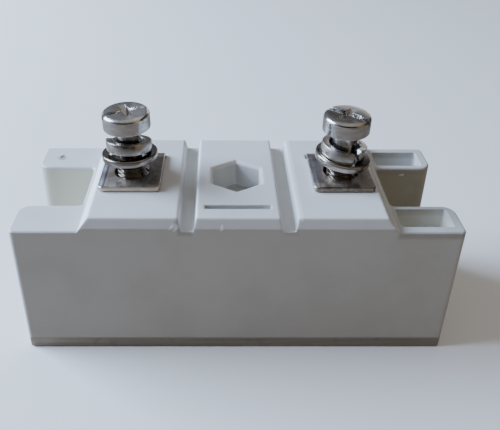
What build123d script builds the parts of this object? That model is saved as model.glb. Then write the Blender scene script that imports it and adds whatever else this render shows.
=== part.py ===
from build123d import *
from math import atan, degrees
import os

os.makedirs("parts", exist_ok=True)

# terminal blocks on top of the housing, millimetres
terminal_pitch = 23.0
middle_block_width = 16.9
block_beyond_terminal = 7.2
block_height = 2.8
block_end_run = 2.1
band_start = 0.75
band_setback = 0.95
groove_width = 3.7
groove_taper = 0.5
plateau_round = 0.25
block_root = 1.0

# slots and corner towers at the ends
slot_ledge = 0.7
slot_depth = 14.0
slot_width = 15.3
slot_mouth_radius = 2.6
slot_inner_radius = 1.0
top_edge_bevel = 0.3
gate_mark_bore = 1.4
gate_mark_depth = 0.15
gate_mark_from_end = 5.0
gate_mark_from_side = 4.5

# base plate and housing outside
base_width = 34.5
base_thickness = 3.0
base_edge = 0.3
outer_corner = 1.0
mount_from_end = 7.0
mount_bore = 6.4
housing_height = 30.0
end_lean = 0.7
side_lean = 0.25

# pockets for control terminals, at one end only
pocket_length = 10.8
pocket_width = 6.2
pocket_depth = 9.0
pocket_side_wall = 1.9
pocket_end_wall = 2.0
pocket_corner = 0.5

# housing inside
side_wall = 2.3
end_wall = 2.2
roof = 2.2
roof_ledge = 1.95
chamber_corner = 1.0
boss_wall = 1.4
tower_wall = 2.0
seal_groove_width = 0.8
seal_groove_depth = 0.6
seal_corner = 0.6

# nut pockets
nut_across_flats = 10.0
nut_thickness = 5.0
nut_clearance = 0.25
nut_to_plate = 0.1
pocket_rim = 0.55
nut_pocket_depth = 6.9
screw_well_bore = 7.0
screw_well_depth = 13.0

# terminal strips
strip_thickness = 1.1
strip_width = 13.2
strip_clearance = 0.1
strip_lift = 0.1
strip_corner = 1.0
strip_bend = 0.6
blade_behind_screw = 8.4
middle_slot_from_wall = 2.75
plate_reach = 6.9
plate_bore = 7.6
foot_width = 9.0
foot_reach = 6.5
foot_step_height = 9.0

# screws with captive washers, partly backed out
screw_thread = 6.0
thread_clearance = 0.05
screw_length = 16.0
screw_point = 0.7
neck_diameter = 5.3
neck_length = 7.65
head_diameter = 10.0
head_height = 3.9
head_bevel = 0.6
recess_width = 1.5
recess_depth = 1.9
recess_span = 6.4
screw_backed_out = 10.9
right_screw_drop = 0.6
lean_share_of_play = 0.8

# washers
washer_diameter = 12.0
washer_bore = 5.7
washer_thickness = 1.4
washer_edge = 0.25
spring_diameter = 10.6
spring_bore = 5.9
spring_thickness = 1.5
spring_gap = 1.6
spring_cut_angle = 25.0
washer_gap = 0.1

# parts on the base plate
solder = 0.2
foil = 0.3
ceramic_from_end = 1.8
ceramic_from_side = 1.45
ceramic_thickness = 0.6
foil_margin = 1.0
pad_gap = 2.5
pad_split = 9.0
chip_side = 15.0
chip_thickness = 0.4
chip_offset = -2.5
contact_diameter = 11.0
contact_thickness = 0.8
clip_width = 8.0
clip_thickness = 0.8
clip_arch = 3.2
clip_foot = 4.5
clip_bend = 0.3
clip_from_pad_edge = 0.6
gel_depth = 10.0
resin_below_boss = 1.2

# levels and places that follow from the sizes above
block_end_top = terminal_pitch + block_beyond_terminal
block_end_foot = block_end_top + block_end_run
slot_start = block_end_foot + slot_ledge
base_length = 2 * (slot_start + slot_depth)
mount_spacing = base_length - 2 * mount_from_end
tower_top = base_thickness + housing_height
block_top = tower_top + block_height
strip_under = block_top + strip_lift
terminal_face = strip_under + strip_thickness
chamber_half_length = slot_start - end_wall
chamber_half_width = base_width / 2 - side_wall
chamber_top = tower_top - roof
boss_bottom = block_top - screw_well_depth - boss_wall
groove_centre = middle_block_width / 2 + groove_width / 2
middle_slot_offset = chamber_half_width - middle_slot_from_wall
ceramic_length = 2 * (chamber_half_length - ceramic_from_end)
ceramic_width = 2 * (chamber_half_width - ceramic_from_side)
solder_top = base_thickness + solder
ceramic_bottom = solder_top + foil
ceramic_top = ceramic_bottom + ceramic_thickness
pad_top = ceramic_top + foil
gel_top = base_thickness + gel_depth
resin_top = boss_bottom - resin_below_boss
tower_half_gap = slot_width / 2


# solid box between two corners
def box_between(x0, x1, y0, y1, z0, z1):
    return Pos((x0 + x1) / 2, (y0 + y1) / 2, (z0 + z1) / 2) * Box(x1 - x0, y1 - y0, z1 - z0)


# hexagon prism standing on z = 0, with flats facing left and right
def hexagon_prism(across_flats, height):
    outline = Rot(0, 0, 30) * RegularPolygon(across_flats / 2, 6, major_radius=False)
    return extrude(outline, height)


# upright edges of the housing at a place in plan, and at its mirror places
def upright_edges(shape, x, y):
    found = []
    for e in shape.edges():
        middle = e.center()
        near = abs(abs(middle.X) - x) < 2 * end_lean and abs(abs(middle.Y) - y) < 2 * side_lean
        if near and e.length > housing_height * 0.9:
            found.append(e)
    return found


# corners of a flat outline that lie at the given places
def corners_at(face, places):
    return [v for v in face.vertices() if any((Vector(*p) - Vector(v.X, v.Y)).length < 0.01 for p in places)]


# side view of a bent strip in the YZ plane, with rounded bends
def strip_side(points, thick_corners, thin_corners):
    face = make_face(Polyline(*points, close=True))
    face = fillet(corners_at(face, thick_corners), strip_bend + strip_thickness)
    return fillet(corners_at(face, thin_corners), strip_bend)


# lowers a loose piece until it lies on what carries it, with a small clearance
def settle(piece, support, clearance):
    for _ in range(8):
        piece = Pos(0, 0, clearance - piece.distance_to(support)) * piece
    return piece


# base plate with its two mounting holes
base_plate = extrude(RectangleRounded(base_length, base_width, outer_corner), base_thickness)
for x in (-mount_spacing / 2, mount_spacing / 2):
    base_plate -= Pos(x, 0, base_thickness / 2) * Cylinder(mount_bore / 2, base_thickness * 2)
base_plate = chamfer(base_plate.faces().sort_by(Axis.Z)[0].outer_wire().edges(), base_edge)

# housing body, drafted on all four sides
top_length = base_length - 2 * end_lean
top_width = base_width - 2 * side_lean
front_view = make_face(
    Polyline(
        (-base_length / 2, base_thickness),
        (-top_length / 2, tower_top),
        (top_length / 2, tower_top),
        (base_length / 2, base_thickness),
        close=True,
    )
)
side_view = make_face(
    Polyline(
        (-base_width / 2, base_thickness),
        (-top_width / 2, tower_top),
        (top_width / 2, tower_top),
        (base_width / 2, base_thickness),
        close=True,
    )
)
housing = extrude(Plane.XZ * front_view, base_width, both=True)
housing &= extrude(Plane.YZ * side_view, base_length, both=True)

# open slots for the mounting screws at both ends, and the corners round the towers
slot_cut = box_between(slot_start, base_length, -tower_half_gap, tower_half_gap, 0, block_top)
housing -= slot_cut + mirror(slot_cut, Plane.YZ)
for x, y, radius in (
    (base_length / 2, base_width / 2, outer_corner),
    (base_length / 2, tower_half_gap, slot_mouth_radius),
    (slot_start, tower_half_gap, slot_inner_radius),
):
    housing = fillet(upright_edges(housing, x, y), radius)
top_rim = housing.faces().sort_by(Axis.Z)[-1].outer_wire()
housing = chamfer(top_rim.edges(), top_edge_bevel)

# raised blocks: sloped bands front and rear, sloped ends, two grooves between
half_top_width = top_width / 2
band_profile = make_face(
    Polyline(
        (-half_top_width + top_edge_bevel, tower_top - block_root),
        (-half_top_width, tower_top - top_edge_bevel),
        (-half_top_width, tower_top + band_start),
        (-half_top_width + band_setback, block_top),
        (half_top_width - band_setback, block_top),
        (half_top_width, tower_top + band_start),
        (half_top_width, tower_top - top_edge_bevel),
        (half_top_width - top_edge_bevel, tower_top - block_root),
        close=True,
    )
)
ridge = extrude(Plane.YZ * band_profile, base_length / 2, both=True)
end_slope = (block_end_foot - block_end_top) / block_height * block_root
end_profile = make_face(
    Polyline(
        (-block_end_foot - end_slope, tower_top - block_root),
        (-block_end_top, block_top),
        (block_end_top, block_top),
        (block_end_foot + end_slope, tower_top - block_root),
        close=True,
    )
)
ridge &= extrude(Plane.XZ * end_profile, base_width, both=True)
groove_profile = make_face(
    Polyline(
        (groove_centre - groove_width / 2 + groove_taper, tower_top),
        (groove_centre - groove_width / 2 - groove_taper, block_top + block_height),
        (groove_centre + groove_width / 2 + groove_taper, block_top + block_height),
        (groove_centre + groove_width / 2 - groove_taper, tower_top),
        close=True,
    )
)
groove_cut = extrude(Plane.XZ * groove_profile, base_width, both=True)
ridge -= groove_cut + mirror(groove_cut, Plane.YZ)
housing += ridge
flat_faces = housing.faces().filter_by(Axis.Z)
plateaus = flat_faces.filter_by_position(Axis.Z, block_top - 0.01, block_top + 0.01)
housing = fillet(plateaus.edges(), plateau_round)

# pockets for control terminals in the two towers of the right end
pocket_end = top_length / 2 - pocket_end_wall
pocket_middle_y = top_width / 2 - pocket_side_wall - pocket_width / 2
for side in (-1, 1):
    pocket = Box(pocket_length, pocket_width, pocket_depth * 2)
    pocket = fillet(pocket.edges().filter_by(Axis.Z), pocket_corner)
    housing -= Pos(pocket_end - pocket_length / 2, side * pocket_middle_y, tower_top) * pocket

# small round mark left by the moulding gate on the rear left tower
gate_mark = Cylinder(gate_mark_bore / 2, gate_mark_depth * 2)
gate_mark_x = gate_mark_from_end - top_length / 2
gate_mark_y = top_width / 2 - gate_mark_from_side
housing -= Pos(gate_mark_x, gate_mark_y, tower_top) * gate_mark

# hollow inside: one chamber under the blocks and one in each tower
chamber = box_between(
    -chamber_half_length, chamber_half_length, -chamber_half_width, chamber_half_width, 0, chamber_top
)
chamber = fillet(chamber.edges().filter_by(Axis.Z), chamber_corner)
for place in (-terminal_pitch, 0, terminal_pitch):
    half = middle_block_width / 2 - roof
    reach = chamber_half_width - roof_ledge
    chamber += box_between(place - half, place + half, -reach, reach, chamber_top - roof, block_top - roof)
tower_inner = slot_start + tower_wall
tower_outer = top_length / 2 - tower_wall
tower_near = tower_half_gap + tower_wall
for end in (-1, 1):
    room_top = tower_top - roof if end < 0 else tower_top - pocket_depth - roof
    for side in (-1, 1):
        x0, x1 = sorted((end * tower_inner, end * tower_outer))
        y0, y1 = sorted((side * tower_near, side * chamber_half_width))
        housing -= box_between(x0, x1, y0, y1, 0, room_top)

# bosses that hold the nuts and guide the strips, left standing in the chamber
pocket_flats = nut_across_flats + 2 * nut_clearance
boss_across = pocket_flats + 2 * boss_wall
slot_thickness = strip_thickness + 2 * strip_clearance
slot_span = strip_width + 4 * strip_clearance
guide_bottom = block_top - nut_pocket_depth - roof
bosses = Part()
openings_cut = Part()
for place in (-terminal_pitch, 0, terminal_pitch):
    blade_y = -middle_slot_offset if place == 0 else blade_behind_screw
    boss = Pos(place, 0, boss_bottom) * hexagon_prism(boss_across, block_top - roof / 2 - boss_bottom)
    guide_half = slot_span / 2 + boss_wall
    guide_depth = slot_thickness / 2 + boss_wall
    guide = box_between(
        place - guide_half,
        place + guide_half,
        blade_y - guide_depth,
        blade_y + guide_depth,
        guide_bottom,
        block_top - roof / 2,
    )
    bosses += boss + guide
    pocket_floor = block_top - nut_pocket_depth
    nut_pocket = Pos(place, 0, pocket_floor) * hexagon_prism(pocket_flats, nut_pocket_depth + 1)
    rim_low = Pos(place, 0, block_top - pocket_rim) * Rot(0, 0, 30) * RegularPolygon(
        pocket_flats / 2, 6, major_radius=False
    )
    rim_high = Pos(place, 0, block_top + 0.01) * Rot(0, 0, 30) * RegularPolygon(
        pocket_flats / 2 + pocket_rim, 6, major_radius=False
    )
    well = Cylinder(screw_well_bore / 2, screw_well_depth)
    well = Pos(place, 0, block_top - screw_well_depth / 2) * well
    blade_slot = Box(slot_span, slot_thickness, 2 * (block_top - guide_bottom) + 1)
    blade_slot = Pos(place, blade_y, block_top) * blade_slot
    openings_cut += nut_pocket + loft([rim_low, rim_high], ruled=True) + well + blade_slot
    if place != 0:
        bend_room = Pos(place, blade_y - slot_thickness / 2, block_top) * Rot(45, 0, 0)
        openings_cut += bend_room * Box(slot_span, strip_bend * 2**0.5, strip_bend * 2**0.5)
housing -= chamber - bosses
housing -= openings_cut

# groove in the lower rim for the sealing bead
seal_x = slot_start - end_wall / 2
seal_y = base_width / 2 - side_wall / 2
seal_outer = RectangleRounded(
    2 * seal_x + seal_groove_width, 2 * seal_y + seal_groove_width, seal_corner + seal_groove_width
)
seal_inner = RectangleRounded(2 * seal_x - seal_groove_width, 2 * seal_y - seal_groove_width, seal_corner)
seal_outline = Pos(0, 0, base_thickness) * (seal_outer - seal_inner)
sealing_bead = extrude(seal_outline, seal_groove_depth)
housing -= sealing_bead

# ceramic board with copper on both sides
substrate_solder = Pos(0, 0, base_thickness + solder / 2) * Box(
    ceramic_length - 2 * foil_margin, ceramic_width - 2 * foil_margin, solder
)
substrate_copper = Pos(0, 0, solder_top + foil / 2) * Box(
    ceramic_length - 2 * foil_margin, ceramic_width - 2 * foil_margin, foil
)
ceramic_board = Pos(0, 0, ceramic_bottom + ceramic_thickness / 2) * Box(
    ceramic_length, ceramic_width, ceramic_thickness
)
pad_half_length = ceramic_length / 2 - foil_margin
pad_half_width = ceramic_width / 2 - foil_margin
left_pad = box_between(
    -pad_half_length, pad_split - pad_gap / 2, -pad_half_width, pad_half_width, ceramic_top, pad_top
)
right_pad = box_between(
    pad_split + pad_gap / 2, pad_half_length, -pad_half_width, pad_half_width, ceramic_top, pad_top
)

# diode chip, its solder layers and the contact disc on top
chip_bottom = pad_top + solder
chip_top = chip_bottom + chip_thickness
contact_bottom = chip_top + solder
contact_top = contact_bottom + contact_thickness
clip_bottom = contact_top + solder
chip_solder = Pos(chip_offset, 0, pad_top + solder / 2) * Box(chip_side, chip_side, solder)
diode_chip = Pos(chip_offset, 0, chip_bottom + chip_thickness / 2) * Box(chip_side, chip_side, chip_thickness)
contact_solder = Pos(chip_offset, 0, chip_top + solder / 2) * Cylinder(contact_diameter / 2, solder)
contact_disc = Pos(chip_offset, 0, contact_bottom + contact_thickness / 2) * Cylinder(
    contact_diameter / 2, contact_thickness
)
clip_solder = Pos(chip_offset, 0, contact_top + solder / 2) * Box(clip_width, clip_width, solder)

# arched copper clip from the contact disc to the right pad
foot_bottom = pad_top + solder
clip_start = chip_offset - clip_width / 2
clip_rise = chip_offset + clip_width / 2
clip_end = pad_split + pad_gap / 2 + clip_from_pad_edge
clip_high = clip_bottom + clip_arch
clip_profile = make_face(
    Polyline(
        (clip_start, clip_bottom),
        (clip_rise + clip_thickness, clip_bottom),
        (clip_rise + clip_thickness, clip_high - clip_thickness),
        (clip_end, clip_high - clip_thickness),
        (clip_end, foot_bottom),
        (clip_end + clip_foot, foot_bottom),
        (clip_end + clip_foot, foot_bottom + clip_thickness),
        (clip_end + clip_thickness, foot_bottom + clip_thickness),
        (clip_end + clip_thickness, clip_high),
        (clip_rise, clip_high),
        (clip_rise, clip_bottom + clip_thickness),
        (clip_start, clip_bottom + clip_thickness),
        close=True,
    )
)
bridge_clip = extrude(Plane.XZ * clip_profile, clip_width / 2, both=True)
bend_edges = [
    e
    for e in bridge_clip.edges().filter_by(Axis.Y)
    if clip_start + clip_bend < e.center().X < clip_end + clip_foot - clip_bend
]
bridge_clip = fillet(bend_edges, clip_bend)
clip_foot_solder = box_between(
    clip_end + clip_thickness, clip_end + clip_foot, -clip_width / 2, clip_width / 2, pad_top, foot_bottom
)

# terminal strips: foot on the pad, blade up through the roof, plate over the nut
half_strip = strip_thickness / 2
strip_points = [
    (blade_behind_screw - foot_reach, foot_bottom),
    (blade_behind_screw + half_strip, foot_bottom),
    (blade_behind_screw + half_strip, terminal_face),
    (-plate_reach, terminal_face),
    (-plate_reach, strip_under),
    (blade_behind_screw - half_strip, strip_under),
    (blade_behind_screw - half_strip, foot_bottom + strip_thickness),
    (blade_behind_screw - foot_reach, foot_bottom + strip_thickness),
]
strip_face = strip_side(strip_points, strip_points[1:3], strip_points[5:7])
terminals = {}
foot_solders = {}
for name, place in (("left", -terminal_pitch), ("right", terminal_pitch)):
    strip = extrude(Plane.YZ * strip_face, strip_width / 2, both=True)
    relief = box_between(foot_width / 2, strip_width, 0, base_width, 0, foot_bottom + foot_step_height)
    strip -= relief + mirror(relief, Plane.YZ)
    strip -= Pos(0, 0, terminal_face) * Cylinder(plate_bore / 2, 4 * strip_thickness)
    front_edges = strip.edges().filter_by(Axis.Z).sort_by(Axis.Y)[:2]
    strip = fillet(front_edges, strip_corner)
    terminals[name] = Pos(place, 0, 0) * strip
    foot_solders[name] = box_between(
        place - foot_width / 2,
        place + foot_width / 2,
        blade_behind_screw - foot_reach,
        blade_behind_screw - half_strip - strip_bend,
        pad_top,
        foot_bottom,
    )

# hexagon nuts lying loose in their pockets, held in by the plates
nut = hexagon_prism(nut_across_flats, nut_thickness)
nut &= Pos(0, 0, nut_thickness / 2) * Cylinder(nut_across_flats * 0.57, nut_thickness)
nut -= Pos(0, 0, nut_thickness / 2) * Cylinder(screw_thread / 2 + thread_clearance, nut_thickness * 2)
nut_bottom = block_top - nut_thickness - nut_to_plate

# screw with a thin neck between head and thread, and a slot and cross in the head
screw = Pos(0, 0, head_height / 2) * Cylinder(head_diameter / 2, head_height)
screw = chamfer(screw.edges().sort_by(Axis.Z)[-1], head_bevel)
recess = Box(recess_span, recess_width, 2 * recess_depth) + Box(recess_width, recess_span, 2 * recess_depth)
screw -= Pos(0, 0, head_height) * (recess + Box(head_diameter * 2, recess_width * 0.8, recess_depth))
screw += Pos(0, 0, -neck_length / 2) * Cylinder(neck_diameter / 2, neck_length)
thread_length = screw_length - neck_length
thread = Pos(0, 0, -neck_length - thread_length / 2) * Cylinder(screw_thread / 2, thread_length)
thread = chamfer(thread.edges().sort_by(Axis.Z)[0], screw_point)
screw += thread

# flat washer, and a split spring washer with a slanting cut
flat_washer = Cylinder(washer_diameter / 2, washer_thickness)
flat_washer -= Cylinder(washer_bore / 2, washer_thickness * 2)
flat_washer = chamfer(flat_washer.edges().group_by(Axis.Z)[-1].sort_by(SortBy.LENGTH)[-1], washer_edge)
spring_ring = Cylinder(spring_diameter / 2, spring_thickness)
spring_ring -= Cylinder(spring_bore / 2, spring_thickness * 2)
spring_cut = Rot(spring_cut_angle, 0, 0) * Box(spring_diameter, spring_gap, spring_thickness * 3)
spring_washer = spring_ring - Pos(spring_diameter / 2, 0, 0) * spring_cut

# the left screw leans over by most of its play in the nut
nut_top = nut_bottom + nut_thickness
engaged = nut_top - terminal_face - screw_backed_out + screw_length
left_screw_lean = degrees(atan(2 * thread_clearance * lean_share_of_play / engaged))
lean_pivot = nut_top - engaged / 2

# each washer lies tilted on the top of the thread
seats = {
    "left": (-terminal_pitch, 0.0, -left_screw_lean, (5.0, 0.0), (11.0, 1.0), 160.0),
    "right": (terminal_pitch, right_screw_drop, 0.0, (-1.0, 7.5), (3.0, 9.0), 285.0),
}
pieces = {
    "base_plate": base_plate,
    "housing": housing,
    "sealing_bead": sealing_bead,
    "substrate_solder": substrate_solder,
    "substrate_copper": substrate_copper,
    "ceramic_board": ceramic_board,
    "pad_left": left_pad,
    "pad_right": right_pad,
    "chip_solder": chip_solder,
    "diode_chip": diode_chip,
    "contact_solder": contact_solder,
    "contact_disc": contact_disc,
    "clip_solder": clip_solder,
    "bridge_clip": bridge_clip,
    "clip_foot_solder": clip_foot_solder,
}
for name, (place, drop, lean_angle, flat_tilt, spring_tilt, split_angle) in seats.items():
    head_under = terminal_face + screw_backed_out - drop
    thread_place = Pos(place, 0, head_under) * thread
    flat = Pos(place, 0, head_under - washer_thickness) * Rot(-flat_tilt[0], flat_tilt[1], 0) * flat_washer
    flat = settle(flat, thread_place, washer_gap)
    turned = Rot(-spring_tilt[0], spring_tilt[1], 0) * Rot(0, 0, split_angle) * spring_washer
    spring = settle(Pos(place, 0, head_under) * turned, flat, washer_gap)
    lean = Pos(place, 0, lean_pivot) * Rot(0, lean_angle, 0) * Pos(-place, 0, -lean_pivot)
    pieces["terminal_" + name] = terminals[name]
    pieces["foot_solder_" + name] = foot_solders[name]
    pieces["nut_" + name] = Pos(place, 0, nut_bottom) * nut
    pieces["screw_" + name] = lean * Pos(place, 0, head_under) * screw
    pieces["washer_" + name] = lean * flat
    pieces["spring_" + name] = lean * spring

# soft gel over the chip and hard resin above it, both poured round what stands in them
room_outline = RectangleRounded(2 * chamber_half_length, 2 * chamber_half_width, chamber_corner)
gel = extrude(Pos(0, 0, base_thickness) * room_outline, gel_depth)
resin = extrude(Pos(0, 0, gel_top) * room_outline, resin_top - gel_top)
for name in (
    "substrate_solder",
    "substrate_copper",
    "ceramic_board",
    "pad_left",
    "pad_right",
    "chip_solder",
    "diode_chip",
    "contact_solder",
    "contact_disc",
    "clip_solder",
    "bridge_clip",
    "clip_foot_solder",
    "foot_solder_left",
    "foot_solder_right",
    "terminal_left",
    "terminal_right",
):
    gel -= pieces[name]
resin -= terminals["left"] + terminals["right"]
pieces["silicone_gel"] = gel
pieces["casting_resin"] = resin

for name, shape in pieces.items():
    export_step(shape, f"parts/{name}.step")
    print(name, round(shape.volume, 2), len(shape.solids()))
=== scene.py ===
import math
import bpy
import bmesh
from mathutils import Matrix, Vector


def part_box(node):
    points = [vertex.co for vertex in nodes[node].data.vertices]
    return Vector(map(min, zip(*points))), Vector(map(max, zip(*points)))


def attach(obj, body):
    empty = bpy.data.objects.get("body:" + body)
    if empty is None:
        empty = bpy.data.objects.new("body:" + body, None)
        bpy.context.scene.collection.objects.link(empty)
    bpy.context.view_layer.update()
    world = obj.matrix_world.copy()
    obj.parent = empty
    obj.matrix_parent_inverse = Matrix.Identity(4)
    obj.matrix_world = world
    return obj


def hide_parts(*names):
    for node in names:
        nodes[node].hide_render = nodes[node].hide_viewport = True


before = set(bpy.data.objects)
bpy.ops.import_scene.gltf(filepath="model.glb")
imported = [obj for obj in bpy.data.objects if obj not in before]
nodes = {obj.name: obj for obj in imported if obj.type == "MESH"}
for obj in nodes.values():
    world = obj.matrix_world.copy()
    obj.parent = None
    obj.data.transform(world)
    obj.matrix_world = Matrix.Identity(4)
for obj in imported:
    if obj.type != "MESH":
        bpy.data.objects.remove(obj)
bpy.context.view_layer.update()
scene = bpy.context.scene
# the two terminal screws stand on the X axis, this far from the middle
postPlace = 0.0230
print("frame loaded,", len(nodes), "nodes")

# camera, as in the photo
cameraView = {
    "place": (-0.00393, -0.11183, 0.10656),
    "pitch": 32.78,
    "yaw": -0.71,
    "roll": 0.56,
    "lens": 42.91,
    "shift": (0.05, -0.07),
}


def makeCamera(view):
    data = bpy.data.cameras.new("photoCamera")
    data.sensor_width = 36.0
    data.lens = view["lens"]
    data.shift_x, data.shift_y = view["shift"]
    data.clip_start, data.clip_end = 0.005, 10.0
    camera = bpy.data.objects.new("photoCamera", data)
    turn = Matrix.Rotation(math.radians(view["yaw"]), 4, "Z")
    tip = Matrix.Rotation(math.radians(90.0 - view["pitch"]), 4, "X")
    lean = Matrix.Rotation(math.radians(view["roll"]), 4, "Z")
    camera.matrix_world = Matrix.Translation(view["place"]) @ turn @ tip @ lean
    scene.collection.objects.link(camera)
    scene.camera = camera


makeCamera(cameraView)
print("camera set")


# small helpers for node trees
def put(tree, kind, inputs=None, **settings):
    node = tree.nodes.new(kind)
    for key, value in settings.items():
        setattr(node, key, value)
    for key, value in (inputs or {}).items():
        socket = node.inputs[key]
        if isinstance(value, bpy.types.NodeSocket):
            tree.links.new(value, socket)
        else:
            socket.default_value = value
    return node


def shaderGroup(name, inputs, outputs):
    group = bpy.data.node_groups.new(name, "ShaderNodeTree")
    for label, kind, value in inputs:
        socket = group.interface.new_socket(name=label, in_out="INPUT", socket_type=kind)
        socket.default_value = value
    for label, kind in outputs:
        group.interface.new_socket(name=label, in_out="OUTPUT", socket_type=kind)
    return group, group.nodes.new("NodeGroupInput"), group.nodes.new("NodeGroupOutput")


def math2(tree, how, a, b, clamp=False):
    node = put(tree, "ShaderNodeMath", {0: a, 1: b}, operation=how, use_clamp=clamp)
    return node.outputs[0]


def vector2(tree, how, a, b):
    return put(tree, "ShaderNodeVectorMath", {0: a, 1: b}, operation=how)


def ramp(tree, value, low, high, outLow=0.0, outHigh=1.0):
    node = put(
        tree,
        "ShaderNodeMapRange",
        {"Value": value, "From Min": low, "From Max": high, "To Min": outLow, "To Max": outHigh},
        interpolation_type="SMOOTHSTEP",
    )
    return node.outputs["Result"]


def blend(tree, share, first, second):
    # mixes two colours, each a socket or three numbers
    node = put(tree, "ShaderNodeMix", data_type="RGBA", blend_type="MIX")
    sockets = {s.identifier: s for s in node.inputs}
    tree.links.new(share, sockets["Factor_Float"])
    for key, value in (("A_Color", first), ("B_Color", second)):
        if isinstance(value, bpy.types.NodeSocket):
            tree.links.new(value, sockets[key])
        else:
            sockets[key].default_value = (*value, 1.0)
    return {s.identifier: s for s in node.outputs}["Result_Color"]


def scaled(tree, value, factor):
    return math2(tree, "MULTIPLY", value, factor)


def noiseAt(tree, where, scale, detail, **more):
    # more holds the noise's other inputs by name
    values = {"Vector": where, "Scale": scale, "Detail": detail, **more}
    return put(tree, "ShaderNodeTexNoise", values).outputs["Fac"]


# shared shader groups
def makeGrainGroup():
    # two sizes of noise on object coordinates, as height and as a cloudy value
    group, start, end = shaderGroup(
        "surfaceGrain",
        [
            ("Fine Scale", "NodeSocketFloat", 5200.0),
            ("Coarse Scale", "NodeSocketFloat", 900.0),
            ("Cloud Scale", "NodeSocketFloat", 55.0),
            ("Coarse Share", "NodeSocketFloat", 0.35),
        ],
        [("Height", "NodeSocketFloat"), ("Cloud", "NodeSocketFloat")],
    )
    where = put(group, "ShaderNodeTexCoord").outputs["Object"]
    fine = noiseAt(group, where, start.outputs["Fine Scale"], 2.0)
    coarse = noiseAt(group, where, start.outputs["Coarse Scale"], 3.0)
    cloud = noiseAt(group, where, start.outputs["Cloud Scale"], 4.0, Roughness=0.6)
    height = math2(group, "ADD", fine, scaled(group, coarse, start.outputs["Coarse Share"]))
    group.links.new(height, end.inputs["Height"])
    group.links.new(cloud, end.inputs["Cloud"])
    return group


def makeEdgeGroup():
    # softens sharp edges in the shading, and gives a mask of them broken up by noise
    brokenSpan = (0.38, 0.62)
    group, start, end = shaderGroup(
        "edgeWearAndHighlight",
        [
            ("Radius", "NodeSocketFloat", 0.0002),
            ("Breakup Scale", "NodeSocketFloat", 700.0),
            ("Gain", "NodeSocketFloat", 5.0),
            ("Evenness", "NodeSocketFloat", 0.0),
        ],
        [("Mask", "NodeSocketFloat"), ("Normal", "NodeSocketVector")],
    )
    soft = put(group, "ShaderNodeBevel", {"Radius": start.outputs["Radius"]}, samples=6)
    plain = put(group, "ShaderNodeNewGeometry").outputs["Normal"]
    dot = vector2(group, "DOT_PRODUCT", soft.outputs["Normal"], plain).outputs["Value"]
    bend = math2(group, "SUBTRACT", 1.0, dot)
    bend = math2(group, "MULTIPLY", bend, start.outputs["Gain"], clamp=True)
    where = put(group, "ShaderNodeTexCoord").outputs["Object"]
    broken = ramp(group, noiseAt(group, where, start.outputs["Breakup Scale"], 3.0), *brokenSpan)
    broken = math2(group, "MAXIMUM", broken, start.outputs["Evenness"])
    group.links.new(scaled(group, bend, broken), end.inputs["Mask"])
    group.links.new(soft.outputs["Normal"], end.inputs["Normal"])
    return group


def makeDustGroup():
    # thin dust: more on faces that look up, in soft patches with specks
    patchSpan, patchShare = (0.42, 0.75), 0.6
    speckSpan, speckShare = (0.62, 0.72), 0.5
    onEveryFace = 0.3
    group, start, end = shaderGroup(
        "settledDust",
        [
            ("Patch Scale", "NodeSocketFloat", 130.0),
            ("Speck Scale", "NodeSocketFloat", 1600.0),
            ("Upward Share", "NodeSocketFloat", 0.7),
        ],
        [("Mask", "NodeSocketFloat")],
    )
    where = put(group, "ShaderNodeTexCoord").outputs["Object"]
    plain = put(group, "ShaderNodeNewGeometry").outputs["Normal"]
    facing = put(group, "ShaderNodeSeparateXYZ", {"Vector": plain}).outputs["Z"]
    upward = scaled(group, ramp(group, facing, 0.0, 1.0), start.outputs["Upward Share"])
    soft = ramp(group, noiseAt(group, where, start.outputs["Patch Scale"], 5.0), *patchSpan)
    sharp = ramp(group, noiseAt(group, where, start.outputs["Speck Scale"], 2.0), *speckSpan)
    both = math2(group, "ADD", scaled(group, soft, patchShare), scaled(group, sharp, speckShare))
    lying = math2(group, "ADD", upward, onEveryFace)
    group.links.new(math2(group, "MULTIPLY", both, lying, clamp=True), end.inputs["Mask"])
    return group


def makeStreakGroup():
    # long fine lines along one axis, as rolling or brushing leaves them
    group, start, end = shaderGroup(
        "rolledLines",
        [
            ("Stretch", "NodeSocketVector", (40.0, 2600.0, 2600.0)),
            ("Stain Scale", "NodeSocketFloat", 260.0),
        ],
        [("Lines", "NodeSocketFloat"), ("Stain", "NodeSocketFloat")],
    )
    where = put(group, "ShaderNodeTexCoord").outputs["Object"]
    drawn = vector2(group, "MULTIPLY", where, start.outputs["Stretch"]).outputs["Vector"]
    lines = noiseAt(group, drawn, 1.0, 4.0)
    stain = noiseAt(group, where, start.outputs["Stain Scale"], 5.0, Distortion=0.6)
    group.links.new(lines, end.inputs["Lines"])
    group.links.new(stain, end.inputs["Stain"])
    return group


def makeSpotGroup():
    # one small irregular mark round a point, full inside half its reach
    outlineScale, outlineGain, fullShare = 1500.0, 6.0, 0.5
    group, start, end = shaderGroup(
        "smallMark",
        [
            ("Place", "NodeSocketVector", (0.0, 0.0, 0.0)),
            ("Reach", "NodeSocketFloat", 0.001),
            ("Raggedness", "NodeSocketFloat", 0.0006),
        ],
        [("Mask", "NodeSocketFloat")],
    )
    where = put(group, "ShaderNodeTexCoord").outputs["Object"]
    away = vector2(group, "DISTANCE", where, start.outputs["Place"]).outputs["Value"]
    shift = math2(group, "SUBTRACT", noiseAt(group, where, outlineScale, 3.0), 0.5)
    shift = scaled(group, scaled(group, shift, start.outputs["Raggedness"]), outlineGain)
    reach = math2(group, "ADD", away, shift)
    inner = scaled(group, start.outputs["Reach"], fullShare)
    group.links.new(ramp(group, reach, start.outputs["Reach"], inner), end.inputs["Mask"])
    return group


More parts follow.
